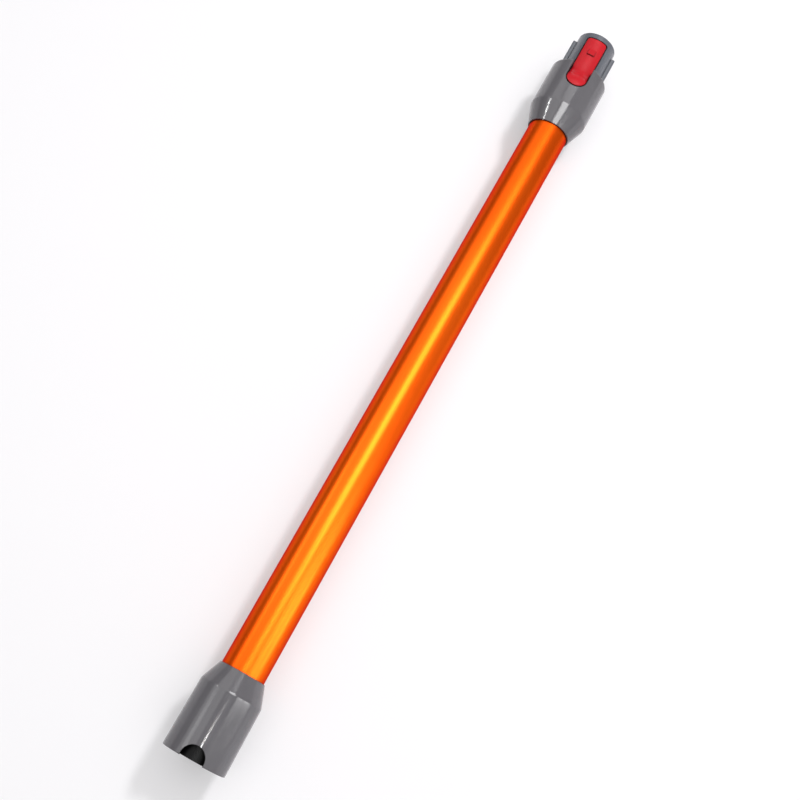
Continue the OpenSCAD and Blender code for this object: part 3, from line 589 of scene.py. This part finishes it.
for group, x in SCREWS:
    pair = bmesh.new()
    for turn in (90, -90):
        one = lathe(SCREW, SCREW_STEPS)
        for vert in one.verts:
            reach = math.hypot(vert.co.y, vert.co.z) / MM
            on_ring = any(abs(reach - ring_r) < RING_MATCH for ring_r in RECESS_RINGS)
            if vert.co.x / MM > RECESS_FROM and on_ring:
                angle = math.atan2(vert.co.z, vert.co.y)
                around = 1 + LOBE_DEPTH * math.cos(LOBES * angle)
                vert.co.y *= around
                vert.co.z *= around
        soften(one, 0.05 * MM, 2)
        bmesh.ops.transform(one, verts=one.verts, matrix=Matrix.Translation((x * MM, 0, 0))
                            @ Matrix.Rotation(math.radians(turn), 4, "Z"))
        data = bpy.data.meshes.new("one screw")
        one.to_mesh(data)
        one.free()
        pair.from_mesh(data)
        bpy.data.meshes.remove(data)
    report(weight_normals(finish_piece(pair, group + "_driven", "wand", "steel", group)))

# %% [markdown]
# ## The floor
# The wand lies on white card. The card is a plain pale surface, and for rays from the camera,
# part of it is plain white: that keeps the picture's background white without pouring more light
# on the wand, and the shadow still shows.

# %% Floor
FLOOR_WHITE = 0.28
FLOOR_X, FLOOR_SIZE, FLOOR_CELLS = 0.35, 4.0, 8

floor_z = min(corner.z for corner in cad_box)
sheet = bmesh.new()
bmesh.ops.create_grid(sheet, x_segments=FLOOR_CELLS, y_segments=FLOOR_CELLS, size=FLOOR_SIZE,
                      matrix=Matrix.Translation((FLOOR_X, 0, floor_z)))
floor_data = bpy.data.meshes.new("floor")
sheet.to_mesh(floor_data)
sheet.free()
floor = bpy.data.objects.new("floor", floor_data)
scene.collection.objects.link(floor)

card = Finish("white card")
card.set(Base_Color=colour(243, 241, 244))
card.to("Roughness", card.spread(card.noise(800), 0.55, 0.70))
rays = card.nodes.new("ShaderNodeLightPath").outputs
white = card.nodes.new("ShaderNodeEmission")
blend = card.nodes.new("ShaderNodeMixShader")
card.link(card.maths("MULTIPLY", rays["Is Camera Ray"], FLOOR_WHITE), blend.inputs[0])
card.link(card.shader.outputs[0], blend.inputs[1])
card.link(white.outputs[0], blend.inputs[2])
card.link(blend.outputs[0], card.nodes["Material Output"].inputs["Surface"])
floor.data.materials.append(card.material)
print("floor at z", round(floor_z, 5))

# %% [markdown]
# ## Light
# Two lamps light the floor and the plastics: a wide soft one above, and a small far key on the
# right that gives the shadows their side. Both are left out of reflections. All the others are
# seen only in reflections: a glossy round thing shows its room as long streaks, so each streak
# in the picture has its lamp. The panel draws the yellow line along the tube, the ceiling
# brightens the left half, the window the lower right, and the strips and the bulb draw the short
# bright dashes on the covers. The window side and the far panel are weaker ones beside them.
# The world is a little darker towards the left horizon, where the tube shows its dark stripe.

# %% Lamps
def lamp(name, place, aim_at, width, length, glow, glossy=True, diffuse=True):
    """A soft box. glow is how bright its face is, where 1 is white; its length runs along X."""
    data = bpy.data.lights.new(name, "AREA")
    data.shape = "RECTANGLE"
    data.size, data.size_y = length, width
    data.energy = glow * math.pi * width * length
    box = bpy.data.objects.new(name, data)
    scene.collection.objects.link(box)
    aim = Vector(aim_at) - Vector(place)
    box.matrix_world = Matrix.LocRotScale(Vector(place), aim.to_track_quat("-Z", "Y"), None)
    box.visible_glossy = glossy
    box.visible_diffuse = diffuse
    print(name, "watts", round(data.energy, 2))


lamp("panel", (0.70, -0.20, 1.45), (0.70, -0.20, 0), 0.62, 0.9, 10.5, diffuse=False)
lamp("ceiling", (0.72, 0.95, 1.35), (0.5, 0, 0), 1.5, 2.0, 1.3, diffuse=False)
lamp("window", (0.28, -1.6, 1.05), (0.28, 0, 0), 2.0, 0.16, 17, diffuse=False)
lamp("window side", (0.15, -1.6, 1.05), (0.15, 0, 0), 2.0, 0.10, 4.5, diffuse=False)
lamp("key", (2.0, -0.70, 2.4), (0.35, 0, 0), 0.45, 0.45, 68, glossy=False)
lamp("soft top", (0.20, -0.3, 1.6), (0.20, -0.3, 0), 2.4, 2.6, 0.64, glossy=False)
lamp("cone strip", (0.52, 1.76, 1.45), (0.55, 0, 0), 0.15, 0.12, 52, diffuse=False)
lamp("far panel", (1.75, -0.05, 1.5), (1.6, 0, 0), 0.45, 0.9, 2.2, diffuse=False)
lamp("sleeve strip", (0.0, 1.45, 1.4), (0, 0, 0), 0.45, 0.2, 2.2, diffuse=False)
lamp("bulb", (-0.045, -0.135, 1.5), (-0.045, -0.135, 0), 0.02, 0.055, 520, diffuse=False)

# %% [markdown]
# ## The room
# The world has its own level by direction: brighter up and to the right, darker to the left. A
# ray from the camera sees plain white instead, so the background is white round the floor too.

# %% World
BRIGHT_SIDE = (0, -0.5, 0.8)
ROOM_LEVELS = (("From Min", -0.5), ("From Max", 0.8), ("To Min", 0.22), ("To Max", 0.55))
FACTOR, VALUE_A, VALUE_B = 0, 2, 3          # where a Mix node keeps its plain value sockets

world = bpy.data.worlds.new("soft room")
scene.world = world
world.use_nodes = True
room = world.node_tree
sky = room.nodes["Background"]
direction = room.nodes.new("ShaderNodeTexCoord").outputs["Generated"]
towards = room.nodes.new("ShaderNodeVectorMath")
towards.operation = "DOT_PRODUCT"
towards.inputs[1].default_value = BRIGHT_SIDE
level = room.nodes.new("ShaderNodeMapRange")
for socket, number in ROOM_LEVELS:
    level.inputs[socket].default_value = number
room.links.new(direction, towards.inputs[0])
room.links.new(towards.outputs["Value"], level.inputs["Value"])
seen_by_camera = room.nodes.new("ShaderNodeLightPath").outputs["Is Camera Ray"]
strength = room.nodes.new("ShaderNodeMix")
room.links.new(seen_by_camera, strength.inputs[FACTOR])
room.links.new(level.outputs["Result"], strength.inputs[VALUE_A])
strength.inputs[VALUE_B].default_value = 1.0
room.links.new(strength.outputs[0], sky.inputs["Strength"])
sky.inputs["Color"].default_value = (1, 1, 1, 1)
scene.view_settings.view_transform = "Standard"
